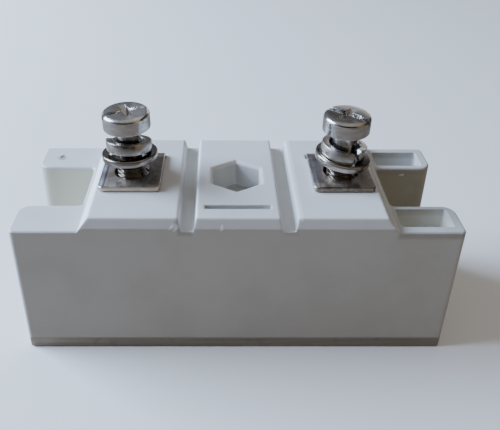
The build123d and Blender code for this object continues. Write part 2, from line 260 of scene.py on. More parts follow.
def makeZoneGroup():
    # a soft, cloudy mask inside a box, that lays painted shade, painted highlights and painted
    # reflections on a place
    cloudSpan, cloudShares = (0.3, 0.62), (0.75, 1.0)
    group, start, end = shaderGroup(
        "shadeAndLightZone",
        [
            ("Middle", "NodeSocketVector", (0.0, 0.0, 0.0)),
            ("Half Size", "NodeSocketVector", (0.001, 0.001, 0.001)),
            ("Softness", "NodeSocketFloat", 0.001),
            ("Cloud Scale", "NodeSocketFloat", 220.0),
        ],
        [("Mask", "NodeSocketFloat")],
    )
    where = put(group, "ShaderNodeTexCoord").outputs["Object"]
    away = vector2(group, "SUBTRACT", where, start.outputs["Middle"]).outputs["Vector"]
    away = put(group, "ShaderNodeVectorMath", {0: away}, operation="ABSOLUTE").outputs["Vector"]
    away = vector2(group, "SUBTRACT", away, start.outputs["Half Size"]).outputs["Vector"]
    parts = put(group, "ShaderNodeSeparateXYZ", {"Vector": away})
    furthest = math2(group, "MAXIMUM", parts.outputs["X"], parts.outputs["Y"])
    furthest = math2(group, "MAXIMUM", furthest, parts.outputs["Z"])
    inside = ramp(group, furthest, 0.0, scaled(group, start.outputs["Softness"], -1.0))
    cloud = noiseAt(group, where, start.outputs["Cloud Scale"], 4.0)
    cloudy = ramp(group, cloud, *cloudSpan, *cloudShares)
    group.links.new(scaled(group, inside, cloudy), end.inputs["Mask"])
    return group


grainGroup = makeGrainGroup()
edgeGroup = makeEdgeGroup()
dustGroup = makeDustGroup()
streakGroup = makeStreakGroup()
spotGroup = makeSpotGroup()
zoneGroup = makeZoneGroup()
print("shader groups made")


# materials
def useGroup(tree, group, values=None):
    node = tree.nodes.new("ShaderNodeGroup")
    node.node_tree = group
    for key, value in (values or {}).items():
        node.inputs[key].default_value = value
    return node


# how noise turns into tone and roughness, and how deep the grain is
cloudSpan = (0.35, 0.70)
roughSpan = (0.30, 0.75)
grainDepth = 0.00003


def newFinish(name, fixed):
    # a material with one Principled shader; fixed holds what is the same all over
    material = bpy.data.materials.new(name)
    material.use_nodes = True
    tree = material.node_tree
    shader = tree.nodes["Principled BSDF"]
    for key, value in fixed.items():
        shader.inputs[key].default_value = value
    return material, tree, shader


def toned(tree, colour, zones, others):
    # lays each zone's colour over what is there
    for middle, half, soft, tone, share in zones:
        values = {"Middle": middle, "Half Size": half, "Softness": soft, **others}
        zone = useGroup(tree, zoneGroup, values)
        colour = blend(tree, scaled(tree, zone.outputs["Mask"], share), colour, tone)
    return colour


def markMask(tree, place, reach, raggedness):
    values = {"Place": place, "Reach": reach, "Raggedness": reach * raggedness}
    return useGroup(tree, spotGroup, values).outputs["Mask"]


def bumpOn(tree, shader, height, strength, distance, normal=None):
    bump = put(tree, "ShaderNodeBump", {"Height": height, "Strength": strength, "Distance": distance})
    if normal is not None:
        tree.links.new(normal, bump.inputs["Normal"])
    tree.links.new(bump.outputs["Normal"], shader.inputs["Normal"])


mouldingLook = {
    "clean": (0.70, 0.692, 0.672),
    "aged": (0.64, 0.628, 0.600),
    "dust": (0.48, 0.46, 0.42),
    "dustShare": 0.14,
    # lighter edges: wear, and painted highlight along the bright edges and ridges
    "wornAndHighlight": (0.93, 0.93, 0.925),
    "wornAndHighlightShare": 0.80,
    "roughness": (0.40, 0.56),
    "bump": 0.35,
    "grain": {"Fine Scale": 4200.0, "Coarse Scale": 800.0, "Cloud Scale": 48.0},
    "wear": {"Breakup Scale": 420.0, "Evenness": 0.7},
    # softening of the edges low down and on top of the blocks,
    # and the heights between which it changes
    "edgeRadius": (0.00040, 0.00085),
    "edgeHeights": (0.0342, 0.0349),
    # chips that show fresh plastic, and a painted glint: place, reach
    "nicksAndGlint": [
        ((-0.01334, -0.01676, 0.03426), 0.00050),
        ((-0.01275, -0.01706, 0.03361), 0.00050),
        ((-0.01384, -0.01698, 0.03379), 0.00032),
        ((-0.00336, -0.01671, 0.03437), 0.00034),
        ((-0.00338, -0.01688, 0.03402), 0.00034),
        ((-0.00336, -0.01706, 0.03366), 0.00034),
        # the last three marks: a painted glint on the back wall of the right slot, not chips
        ((0.03895, 0.00765, 0.03118), 0.00030),
        ((0.03940, 0.00765, 0.03118), 0.00032),
        ((0.03980, 0.00765, 0.03120), 0.00028),
    ],
    "nickAndGlintColour": (0.97, 0.97, 0.97),
    "nickAndGlintShare": 0.9,
    "nickAndGlintDepth": 6.0,
    "nickAndGlintRaggedness": 0.5,
    # dark points: place, reach, share
    "specks": [
        ((-0.04165, 0.01205, 0.0330), 0.00140, 0.55),
        ((-0.01224, -0.01638, 0.0351), 0.00080, 0.30),
    ],
    "speckColour": (0.16, 0.16, 0.17),
    "speckRaggedness": 0.2,
    # painted shade and painted highlights in given places, and one tint:
    # middle, half size, softness, colour, share
    "shadeAndHighlightPatches": [
        # painted shade, olive, in the left part of the hex pocket
        ((-0.0030, 0.0, 0.0289), (0.0034, 0.0064, 0.0067), 0.0010, (0.62, 0.58, 0.46), 0.45),
        # painted shade, dark, on the floor of the hex pocket
        ((0.0, 0.0005, 0.0289), (0.0062, 0.0062, 0.0009), 0.0004, (0.36, 0.35, 0.31), 0.70),
        # painted shade, warm grey, in the left groove
        ((-0.0108, 0.0, 0.0330), (0.0019, 0.020, 0.0014), 0.0008, (0.46, 0.45, 0.405), 0.62),
        # painted shade, lighter, in the right groove
        ((0.0108, 0.0, 0.0330), (0.0019, 0.020, 0.0014), 0.0008, (0.46, 0.47, 0.415), 0.26),
        # painted shade, dark olive, on the walls of the right slot
        ((0.0410, 0.0, 0.0154), (0.0080, 0.0092, 0.0173), 0.0012, (0.38, 0.365, 0.270), 0.62),
        # painted shadow, grey, on the tops of the right towers
        ((0.0410, 0.0, 0.0325), (0.0090, 0.0180, 0.0016), 0.0010, (0.42, 0.405, 0.375), 0.70),
        # painted warm light, yellowish, on the right front tower
        ((0.0400, -0.0118, 0.0270), (0.0062, 0.0033, 0.0058), 0.0008, (0.82, 0.77, 0.58), 0.60),
        # yellower tint on the walls of the left slot
        ((-0.0400, 0.0, 0.0154), (0.0080, 0.0092, 0.0173), 0.0012, (0.72, 0.690, 0.560), 0.70),
        # painted highlight, near white, on the left end slope
        ((-0.0313, 0.0, 0.0345), (0.0013, 0.0164, 0.0014), 0.0003, (0.99, 0.990, 0.990), 0.98),
        # painted shade, green grey, on the right end slope
        ((0.0313, 0.0, 0.0345), (0.0013, 0.0164, 0.0016), 0.0004, (0.56, 0.590, 0.540), 0.55),
        # painted highlight along the ridge right of the left groove
        ((-0.0086, 0.0, 0.0350), (0.0004, 0.0164, 0.0009), 0.0002, (0.98, 0.980, 0.980), 0.95),
        # painted highlight along the ridge right of the right groove
        ((0.0128, 0.0, 0.0350), (0.0004, 0.0164, 0.0009), 0.0002, (0.98, 0.980, 0.980), 0.95),
    ],
}


def makeMoulding(look):
    material, tree, shader = newFinish("whiteMoulding", {"Specular IOR Level": 0.45})
    grain = useGroup(tree, grainGroup, look["grain"])
    edge = useGroup(tree, edgeGroup, look["wear"])
    where = put(tree, "ShaderNodeTexCoord").outputs["Object"]
    upward = put(tree, "ShaderNodeSeparateXYZ", {"Vector": where}).outputs["Z"]
    radius = ramp(tree, upward, *look["edgeHeights"], *look["edgeRadius"])
    tree.links.new(radius, edge.inputs["Radius"])
    dust = useGroup(tree, dustGroup)
    colour = blend(tree, ramp(tree, grain.outputs["Cloud"], *cloudSpan), look["clean"], look["aged"])
    colour = blend(tree, scaled(tree, dust.outputs["Mask"], look["dustShare"]), colour, look["dust"])
    # lighter edges: wear, and painted highlight
    colour = blend(tree, scaled(tree, edge.outputs["Mask"], look["wornAndHighlightShare"]), colour, look["wornAndHighlight"])
    # painted shade and painted highlights in given places
    colour = toned(tree, colour, look["shadeAndHighlightPatches"], {})
    for place, reach, share in look["specks"]:
        mark = markMask(tree, place, reach, look["speckRaggedness"])
        colour = blend(tree, scaled(tree, mark, share), colour, look["speckColour"])
    # one mask for the chips and the painted glint
    chipsAndGlint = 0.0
    for place, reach in look["nicksAndGlint"]:
        chipsAndGlint = math2(tree, "MAXIMUM", chipsAndGlint, markMask(tree, place, reach, look["nickAndGlintRaggedness"]))
    colour = blend(tree, scaled(tree, chipsAndGlint, look["nickAndGlintShare"]), colour, look["nickAndGlintColour"])
    tree.links.new(colour, shader.inputs["Base Color"])
    rough = ramp(tree, grain.outputs["Cloud"], *roughSpan, *look["roughness"])
    tree.links.new(rough, shader.inputs["Roughness"])
    height = math2(tree, "SUBTRACT", grain.outputs["Height"], scaled(tree, chipsAndGlint, look["nickAndGlintDepth"]))
    bumpOn(tree, shader, height, look["bump"], grainDepth, edge.outputs["Normal"])
    return material


# what all the metals have in common
metalShared = {
    "rubbed": (0.80, 0.77, 0.73),
    "lineSpan": (0.30, 0.70),
    "stainSpan": (0.52, 0.72),
    "stainScale": 320.0,
    "wear": {"Breakup Scale": 1200.0, "Gain": 4.0},
    "dust": {"Patch Scale": 420.0, "Speck Scale": 3000.0},
    "dustRoughness": 0.15,
    "zone": {"Cloud Scale": 900.0},
    "lineDepth": 0.000012,
    # painted shade on the wall of the hole round a screw, dull and dark: distances from the axis, colour
    "boreShadeReach": (0.00394, 0.00381),
    "boreShadeColour": (0.060, 0.051, 0.044),
    # turned down edges: how far right of its start one counts, and its height over the lines
    "rollReach": 0.0070,
    "rollHeight": 40.0,
}

metalLooks = {
    # tones: light and dark; stretch: scale of the drawn lines along each axis;
    # stain: colour and share; wear: share of rubbed edges;
    # zones: painted shade, shadow, highlight and reflection, as middle, half size, softness, colour and
    # share;
    # axes of the holes whose walls get painted shade; rolls: turned down edges, as start and width
    "nickelStrip": {
        "tones": ((0.72, 0.64, 0.56), (0.52, 0.455, 0.395)),
        "roughness": (0.27, 0.46),
        "stretch": (1300.0, 45.0, 1300.0),
        "stain": ((0.24, 0.20, 0.165), 0.40),
        "edgeRadius": 0.00025,
        "wear": 0.10,
        "bump": 0.35,
        "shadedBores": [(-postPlace, 0.0), (postPlace, 0.0)],
        "zones": [
            # darker and warmer tone on the front face of the left strip
            ((-0.0230, -0.0068, 0.0363), (0.0070, 0.00045, 0.0009), 0.0002, (0.46, 0.36, 0.26), 0.70),
            # painted shade, near black, on the front face of the right strip
            ((0.0230, -0.0068, 0.0363), (0.0070, 0.00045, 0.0009), 0.0002, (0.13, 0.10, 0.065), 0.90),
            # painted reflection, bluish, along the left edge of the left strip
            ((-0.0291, 0.0, 0.0368), (0.0004, 0.0070, 0.0006), 0.0001, (0.50, 0.52, 0.58), 0.65),
            # painted reflection, a dark blue stripe, just right of it
            ((-0.02848, 0.0, 0.0370), (0.00030, 0.0064, 0.0003), 0.00014, (0.13, 0.14, 0.20), 0.80),
            # painted shadow line, near black, along the left edge of the left strip
            ((-0.02955, 0.0, 0.0363), (0.00022, 0.0060, 0.0009), 0.00008, (0.02, 0.02, 0.02), 0.95),
            # painted reflection, dark blue grey, on the left part of the right strip
            ((0.0176, 0.0010, 0.0368), (0.0016, 0.0062, 0.0006), 0.0006, (0.20, 0.22, 0.30), 0.78),
            # painted shade, dark brown, on the right part of the right strip
            ((0.0268, -0.0006, 0.0368), (0.0036, 0.0068, 0.0030), 0.0014, (0.16, 0.135, 0.10), 0.75),
            # painted shade, dark brown, on the right part of the left strip
            ((-0.0188, 0.0000, 0.0368), (0.0032, 0.0066, 0.0030), 0.0014, (0.12, 0.105, 0.09), 0.78),
        ],
        "rolls": [(-0.0296, 0.0012), (0.0164, 0.0012)],
    },
    "nickelBase": {
        "tones": ((0.60, 0.57, 0.53), (0.50, 0.47, 0.44)),
        "roughness": (0.34, 0.52),
        "stretch": (50.0, 2400.0, 2400.0),
        "stain": ((0.34, 0.31, 0.28), 0.25),
        "edgeRadius": 0.00020,
        "wear": 0.45,
        "bump": 0.30,
    },
    "brightZinc": {
        "tones": ((0.57, 0.545, 0.52), (0.43, 0.41, 0.385)),
        "roughness": (0.14, 0.32),
        "stretch": (500.0, 500.0, 2400.0),
        "stain": ((0.30, 0.27, 0.235), 0.28),
        "zones": [
            # painted shade, warm brown, on the threads and nuts below the washers
            ((0.0, 0.0, 0.0300), (0.0400, 0.0100, 0.0101), 0.0010, (0.28, 0.230, 0.17), 0.78),
            # painted highlight, near white, on the right half of the left screw's head
            ((-0.0195, 0.0005, 0.0530), (0.0036, 0.0052, 0.0028), 0.0012, (0.96, 0.95, 0.94), 0.90),
        ],
        "edgeRadius": 0.00010,
        "wear": 0.45,
        "bump": 0.20,
    },
    "washerZinc": {
        "tones": ((0.31, 0.272, 0.235), (0.225, 0.196, 0.170)),
        "roughness": (0.10, 0.26),
        "stretch": (500.0, 500.0, 2400.0),
        "stain": ((0.22, 0.190, 0.16), 0.30),
        "zones": [
            # painted light, a lighter tone, on the left half of the right washer
            ((0.0185, 0.0, 0.0410), (0.0052, 0.0080, 0.0060), 0.0015, (0.48, 0.435, 0.385), 0.95),
        ],
        "edgeRadius": 0.00010,
        "wear": 0.15,
        "bump": 0.20,
    },
    "springSteel": {
        "tones": ((0.50, 0.465, 0.42), (0.36, 0.333, 0.30)),
        "roughness": (0.20, 0.42),
        "stretch": (600.0, 600.0, 2600.0),
        "stain": ((0.30, 0.27, 0.24), 0.28),
        "edgeRadius": 0.00010,
        "wear": 0.45,
        "bump": 0.25,
    },
    "bareCopper": {
        "tones": ((0.86, 0.50, 0.34), (0.66, 0.34, 0.22)),
        "roughness": (0.28, 0.46),
        "stretch": (60.0, 1800.0, 1800.0),
        "stain": ((0.42, 0.22, 0.15), 0.30),
        "edgeRadius": 0.00010,
        "wear": 0.45,
        "bump": 0.25,
    },
    "tinSolder": {
        "tones": ((0.70, 0.70, 0.70), (0.54, 0.54, 0.55)),
        "roughness": (0.30, 0.55),
        "stretch": (900.0, 900.0, 900.0),
        "stain": ((0.40, 0.40, 0.41), 0.30),
        "edgeRadius": 0.00008,
        "wear": 0.45,
        "bump": 0.40,
    },
    "molybdenumDisc": {
        "tones": ((0.50, 0.50, 0.52), (0.40, 0.40, 0.42)),
        "roughness": (0.34, 0.50),
        "stretch": (1400.0, 1400.0, 1400.0),
        "stain": ((0.32, 0.32, 0.33), 0.20),
        "edgeRadius": 0.00008,
        "wear": 0.45,
        "bump": 0.20,
    },
}


def makeMetal(name, look, shared):
    material, tree, shader = newFinish(name, {"Metallic": 1.0})
    lines = {"Stretch": look["stretch"], "Stain Scale": shared["stainScale"]}
    streak = useGroup(tree, streakGroup, lines)
    edge = useGroup(tree, edgeGroup, {"Radius": look["edgeRadius"], **shared["wear"]})
    dust = useGroup(tree, dustGroup, shared["dust"])
    where = put(tree, "ShaderNodeTexCoord").outputs["Object"]

    light, dark = look["tones"]
    colour = blend(tree, ramp(tree, streak.outputs["Lines"], *shared["lineSpan"]), light, dark)
    stainColour, stainShare = look["stain"]
    stained = ramp(tree, streak.outputs["Stain"], *shared["stainSpan"])
    colour = blend(tree, scaled(tree, stained, stainShare), colour, stainColour)
    colour = blend(tree, scaled(tree, edge.outputs["Mask"], look["wear"]), colour, shared["rubbed"])
    # painted shade, highlights and reflections in given places
    colour = toned(tree, colour, look.get("zones", []), shared["zone"])
    flat = vector2(tree, "MULTIPLY", where, (1.0, 1.0, 0.0)).outputs["Vector"]
    # painted shade on the walls of the holes round the screws
    for x, y in look.get("shadedBores", []):
        away = vector2(tree, "DISTANCE", flat, (x, y, 0.0)).outputs["Value"]
        colour = blend(tree, ramp(tree, away, *shared["boreShadeReach"]), colour, shared["boreShadeColour"])
    tree.links.new(colour, shader.inputs["Base Color"])

    rough = ramp(tree, streak.outputs["Stain"], *roughSpan, *look["roughness"])
    rough = math2(tree, "ADD", rough, scaled(tree, dust.outputs["Mask"], shared["dustRoughness"]))
    tree.links.new(rough, shader.inputs["Roughness"])

    height = streak.outputs["Lines"]
    across = put(tree, "ShaderNodeSeparateXYZ", {"Vector": where}).outputs["X"]
    for begin, width in look.get("rolls", []):
        counts = math2(tree, "LESS_THAN", across, begin + shared["rollReach"])
        risen = ramp(tree, across, begin, begin + width, 0.0, shared["rollHeight"])
        height = math2(tree, "ADD", height, scaled(tree, counts, risen))
    bumpOn(tree, shader, height, look["bump"], shared["lineDepth"], edge.outputs["Normal"])
    return material


fillLooks = {
    # two colours, roughness span, bump strength, other fixed values of the hidden materials
    "aluminaBoard": ((0.86, 0.86, 0.83), (0.78, 0.78, 0.75), (0.55, 0.70), 0.25, {}),
    "siliconChip": ((0.12, 0.13, 0.16), (0.08, 0.09, 0.11), (0.12, 0.22), 0.05, {"Metallic": 0.6}),
    "clearGel": (
        (0.86, 0.88, 0.86),
        (0.80, 0.82, 0.80),
        (0.08, 0.16),
        0.05,
        {"Transmission Weight": 0.85, "IOR": 1.41},
    ),
    "castResin": ((0.075, 0.075, 0.078), (0.050, 0.050, 0.052), (0.30, 0.48), 0.20, {}),
    "greySilicone": ((0.50, 0.51, 0.51), (0.42, 0.43, 0.43), (0.55, 0.70), 0.20, {}),
}


fillGrain = {"Fine Scale": 3600.0, "Coarse Scale": 700.0, "Cloud Scale": 160.0}


def makeFill(name, look):
    first, second, roughness, strength, fixed = look
    material, tree, shader = newFinish(name, fixed)
    grain = useGroup(tree, grainGroup, fillGrain)
    cloud = ramp(tree, grain.outputs["Cloud"], *cloudSpan)
    tree.links.new(blend(tree, cloud, first, second), shader.inputs["Base Color"])
    rough = ramp(tree, grain.outputs["Cloud"], *roughSpan, *roughness)
    tree.links.new(rough, shader.inputs["Roughness"])
    bumpOn(tree, shader, grain.outputs["Height"], strength, grainDepth)
    return material


finishes = {"whiteMoulding": makeMoulding(mouldingLook)}
for name, look in metalLooks.items():
    finishes[name] = makeMetal(name, look, metalShared)
for name, look in fillLooks.items():
    finishes[name] = makeFill(name, look)
print("materials made:", len(finishes))

finishNodes = {
    "whiteMoulding": ("housing",),
    "nickelBase": ("base_plate",),
    "nickelStrip": ("terminal_left", "terminal_right"),
    "brightZinc": ("nut_left", "nut_right", "screw_left", "screw_right"),
    "washerZinc": ("washer_left", "washer_right"),
    "springSteel": ("spring_left", "spring_right"),
    "tinSolder": (
        "substrate_solder",
        "chip_solder",
        "contact_solder",
        "clip_solder",
        "clip_foot_solder",
        "foot_solder_left",
        "foot_solder_right",
    ),
    "bareCopper": ("substrate_copper", "pad_left", "pad_right", "bridge_clip"),
    "molybdenumDisc": ("contact_disc",),
    "aluminaBoard": ("ceramic_board",),
    "siliconChip": ("diode_chip",),
    "clearGel": ("silicone_gel",),
    "castResin": ("casting_resin",),
    "greySilicone": ("sealing_bead",),
}
for finish, names in finishNodes.items():
    for name in names:
        nodes[name].data.materials.clear()
        nodes[name].data.materials.append(finishes[finish])


# mesh helpers
# corners closer than this are one corner
samePlace = 1e-7


def addPiece(name, mesh, finish, replaced):
    mesh.name = name
    piece = bpy.data.objects.new(name, mesh)
    scene.collection.objects.link(piece)
    if not mesh.materials:
        mesh.materials.append(finishes[finish])
    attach(piece, "root")
    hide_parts(*replaced)
    return piece


def meshFrom(build, name):
    build.normal_update()
    bmesh.ops.recalc_face_normals(build, faces=build.faces)
    mesh = bpy.data.meshes.new(name)
    build.to_mesh(mesh)
    build.free()
    return mesh


def spunMesh(profile, steps, closed):
    # turns a profile of radius and height once round the Z axis
    build = bmesh.new()
    rings = []
    for i in range(steps):
        angle = 2.0 * math.pi * i / steps
        ring = []
        for radius, height in profile:
            ring.append(build.verts.new((radius * math.cos(angle), radius * math.sin(angle), height)))
        rings.append(ring)
    count = len(profile)
    for i in range(steps):
        here, there = rings[i], rings[(i + 1) % steps]
        for j in range(count if closed else count - 1):
            k = (j + 1) % count
            build.faces.new([here[j], there[j], there[k], here[k]])
    bmesh.ops.remove_doubles(build, verts=build.verts, dist=samePlace)
    bmesh.ops.dissolve_degenerate(build, edges=build.edges, dist=samePlace)
    return build


def arcPoints(centre, radius, fromAngle, toAngle, steps):
    made = []
    for i in range(steps + 1):
        angle = math.radians(fromAngle + (toAngle - fromAngle) * i / steps)
        made.append((centre[0] + radius * math.cos(angle), centre[1] + radius * math.sin(angle)))
    return made


def smoothBy(mesh, degrees):
    mesh.polygons.foreach_set("use_smooth", [True] * len(mesh.polygons))
    mesh.set_sharp_from_angle(angle=math.radians(degrees))


def edgeSettings(width, segments, degrees):
    limit = math.radians(degrees)
    return {"width": width, "segments": segments, "limit_method": "ANGLE", "angle_limit": limit}


def evaluated(piece):
    return bpy.data.meshes.new_from_object(piece.evaluated_get(bpy.context.evaluated_depsgraph_get()))


def finished(piece, modifiers):
    # applies modifiers and gives back the plain mesh
    for kind, settings in modifiers:
        modifier = piece.modifiers.new(kind.title(), kind)
        for key, value in settings.items():
            setattr(modifier, key, value)
    return evaluated(piece)


# geometry nodes: a section swept along a helix, thinner at both ends
def makeHelixTree():
    endShare, cornerPoints = 0.15, 2
    tree = bpy.data.node_groups.new("helixSweep", "GeometryNodeTree")
    for label, kind, value in (
        ("Radius", "NodeSocketFloat", 0.0027),
        ("Turns", "NodeSocketFloat", 8.0),
        ("Rise", "NodeSocketFloat", 0.008),
        ("Steps Per Turn", "NodeSocketInt", 48),
        ("Foot Width", "NodeSocketFloat", 0.0008),
        ("Crest Width", "NodeSocketFloat", 0.0001),
        ("Section Depth", "NodeSocketFloat", 0.0005),
        ("Corner", "NodeSocketFloat", 0.00005),
        ("Run Out", "NodeSocketFloat", 0.0001),
        ("Finish", "NodeSocketMaterial", None),
    ):
        socket = tree.interface.new_socket(name=label, in_out="INPUT", socket_type=kind)
        if value is not None:
            socket.default_value = value
    tree.interface.new_socket(name="Geometry", in_out="OUTPUT", socket_type="NodeSocketGeometry")
    start = tree.nodes.new("NodeGroupInput")
    end = tree.nodes.new("NodeGroupOutput")
    given = start.outputs
    helix = put(
        tree,
        "GeometryNodeCurveSpiral",
        {
            "Resolution": given["Steps Per Turn"],
            "Rotations": given["Turns"],
            "Start Radius": given["Radius"],
            "End Radius": given["Radius"],
            "Height": given["Rise"],
        },
    )
    upright = put(tree, "GeometryNodeSetCurveNormal", {"Curve": helix.outputs["Curve"]}, mode="Z_UP")
    along = put(tree, "GeometryNodeSplineParameter").outputs["Factor"]
    back = math2(tree, "SUBTRACT", 1.0, along)
    nearer = math2(tree, "MINIMUM", along, back)
    share = put(
        tree,
        "ShaderNodeMapRange",
        {
            "Value": nearer,
            "From Min": 0.0,
            "From Max": given["Run Out"],
            "To Min": endShare,
            "To Max": 1.0,
        },
    )
    tapered = put(
        tree,
        "GeometryNodeSetCurveRadius",
        {"Curve": upright.outputs["Curve"], "Radius": share.outputs["Result"]},
    )
    section = put(
        tree,
        "GeometryNodeCurvePrimitiveQuadrilateral",
        {
            "Bottom Width": given["Foot Width"],
            "Top Width": given["Crest Width"],
            "Height": given["Section Depth"],
            "Offset": 0.0,
        },
        mode="TRAPEZOID",
    )
    rounded = put(
        tree,
        "GeometryNodeFilletCurve",
        {
            "Curve": section.outputs["Curve"],
            "Count": cornerPoints,
            "Radius": given["Corner"],
            "Limit Radius": True,
        },
        mode="POLY",
    )
    swept = put(
        tree,
        "GeometryNodeCurveToMesh",
        {
            "Curve": tapered.outputs["Curve"],
            "Profile Curve": rounded.outputs["Curve"],
            "Scale": share.outputs["Result"],
            "Fill Caps": True,
        },
    )
    real = put(tree, "GeometryNodeRealizeInstances", {"Geometry": swept.outputs["Mesh"]})
    painted = put(
        tree,
        "GeometryNodeSetMaterial",
        {"Geometry": real.outputs["Geometry"], "Material": given["Finish"]},
    )
    tree.links.new(painted.outputs["Geometry"], end.inputs["Geometry"])
    return tree


def grown(tree, values):
    # runs a node tree once and gives back the mesh
    host = bpy.data.objects.new("growing", bpy.data.meshes.new("growing"))
    scene.collection.objects.link(host)
    modifier = host.modifiers.new("growing", "NODES")
    modifier.node_group = tree
    for item in tree.interface.items_tree:
        if item.item_type == "SOCKET" and item.in_out == "INPUT" and item.name in values:
            modifier[item.identifier] = values[item.name]
    mesh = evaluated(host)
    host.modifiers.clear()
    bpy.data.objects.remove(host)
    return mesh


helixTree = makeHelixTree()
print("geometry nodes made")

# screws
screwShape = {
    "headRadius": 0.0050,
    "headHeight": 0.0039,
    "headRound": 0.0009,
    "crown": 0.00030,
    # the crown's points, as shares of the head's radius, and its fall where the rounding starts
    "crownAt": (0.15, 0.3, 0.45, 0.6, 0.72),
    "crownFall": 0.65,
    "underRound": 0.00018,
    "underEdge": 0.00022,
    "neckRadius": 0.00265,
    "neckLength": 0.00765,
    # the fillet between head and neck: wide, near the neck, and its depth
    "fillet": (0.0003, 0.00008, 0.0003),
    # the step from neck to core: above and below its place
    "neckStep": (0.0002, 0.0001),
    "length": 0.016,
    "coreRadius": 0.00246,
    "threadRadius": 0.0030,
    "pitch": 0.0010,
    "tipBevel": 0.0007,
    "tipSlope": 0.8,
    "wingSpan": 0.0064,
    "wingWidth": 0.0016,
    "wingDepth": 0.0022,
    "wingNarrowing": 0.45,
    "slotReach": 0.0060,
    "slotWidth": 0.0013,
    "slotDepth": 0.0017,
    "edgeWidth": 0.00009,
    "edgeAngle": 38,
    "steps": 96,
    # the thread in pitches: how far it runs past the core, what is left off its turns,
    # and where it starts over the screw's end
    "threadLonger": 0.3,
    "threadShorter": 0.6,
    "threadStart": 0.35,
    # how far the thread's middle lies inside, and how deep its foot sits in the core
    "threadSunk": 0.00002,
    "threadRooted": 0.00004,
    "thread": {
        "Steps Per Turn": 44,
        "Foot Width": 0.00086,
        "Crest Width": 0.00014,
        "Corner": 0.00003,
        "Run Out": 0.07,
    },
}
screwSeats = {
    # middle, height of the head's underside, how the recess is turned,
    # lean about the thread in the nut
    "left": {"middle": -postPlace, "under": 0.0479, "turned": 24.0, "lean": -1.206},
    "right": {"middle": postPlace, "under": 0.0473, "turned": -38.0, "lean": 0.0},
}
leanPivot = 0.0338


def leaned(seat):
    # turns a whole screw with its washers about its hold in the nut
    pivot = Matrix.Translation((seat["middle"], 0.0, leanPivot))
    return pivot @ Matrix.Rotation(math.radians(seat["lean"]), 4, "Y") @ pivot.inverted()


def wedgeBox(build, halfX, halfY, depth, narrowing, top):
    # a box down from z = top with a smaller lower face, as a driver bit leaves it;
    # its width narrows half as much as its length
    over, lessNarrow = 0.0006, 0.5
    corners = []
    for height, shrink in ((top + over, 1.0), (top - depth, narrowing)):
        longX, wideY = halfX * shrink, halfY * (lessNarrow + (1.0 - lessNarrow) * shrink)
        for x, y in ((-1, -1), (1, -1), (1, 1), (-1, 1)):
            corners.append(build.verts.new((x * longX, y * wideY, height)))
    faces = ((0, 1, 2, 3), (7, 6, 5, 4), (0, 4, 5, 1), (1, 5, 6, 2), (2, 6, 7, 3), (3, 7, 4, 0))
    for face in faces:
        build.faces.new([corners[i] for i in face])


def screwProfile(shape):
    # radius and height from the middle of the head down to the tip
    r, top, rounding, crown = shape["headRadius"], shape["headHeight"], shape["headRound"], shape["crown"]
    low, neck, core = shape["underRound"], shape["neckRadius"], shape["coreRadius"]
    wide, near, deep = shape["fillet"]
    start, end, tip = -shape["neckLength"], -shape["length"], shape["tipBevel"]
    above, below = shape["neckStep"]
    profile = [(0.0, top)]
    profile += [(r * share, top - crown * share**2) for share in shape["crownAt"]]
    middle = (r - rounding, top - rounding - crown * shape["crownFall"])
    profile += arcPoints(middle, rounding, 80.0, 0.0, 8)
    profile += [(r, shape["underEdge"])]
    profile += arcPoints((r - low, low), low, 0.0, -90.0, 4)
    profile += [(neck + wide, 0.0), (neck + near, -near), (neck, -deep)]
    profile += [(neck, start + above), (core, start - below)]
    profile += [(core, end + tip), (core - tip * shape["tipSlope"], end), (0.0, end)]
    return profile


def cutHead(shape, blank):
    # the cross recess and the slot, then softened edges
    span, wing, depth = shape["wingSpan"] / 2.0, shape["wingWidth"] / 2.0, shape["wingDepth"]
    slot = (shape["slotReach"], shape["slotWidth"] / 2.0, shape["slotDepth"], 1.0)
    cross = (span, wing, depth, shape["wingNarrowing"])
    cutters = []
    for sizes, turn in ((cross, 0.0), (cross, math.pi / 2.0), (slot, 0.0)):
        build = bmesh.new()
        wedgeBox(build, *sizes, shape["headHeight"])
        bmesh.ops.rotate(build, verts=build.verts, matrix=Matrix.Rotation(turn, 3, "Z"))
        cutter = bpy.data.objects.new("cutter", meshFrom(build, "cutter"))
        scene.collection.objects.link(cutter)
        cutters.append(cutter)
    steps = [("BOOLEAN", {"operation": "DIFFERENCE", "object": c, "solver": "EXACT"}) for c in cutters]
    steps += [("BEVEL", edgeSettings(shape["edgeWidth"], 2, shape["edgeAngle"]))]
    mesh = finished(blank, steps)
    for helper in cutters + [blank]:
        bpy.data.objects.remove(helper)
    return mesh


def threadRidge(shape):
    core, radius, pitch = shape["coreRadius"], shape["threadRadius"], shape["pitch"]
    reach = shape["length"] - shape["neckLength"]
    turns = (pitch * shape["threadLonger"] + reach) / pitch - shape["threadShorter"]
    values = {
        "Radius": (core + radius) / 2.0 - shape["threadSunk"],
        "Turns": turns,
        "Rise": turns * pitch,
        "Section Depth": radius - core + shape["threadRooted"],
        "Finish": finishes["brightZinc"],
        **shape["thread"],
    }
    ridge = grown(helixTree, values)
    ridge.transform(Matrix.Translation((0.0, 0.0, pitch * shape["threadStart"] - shape["length"])))
    return ridge


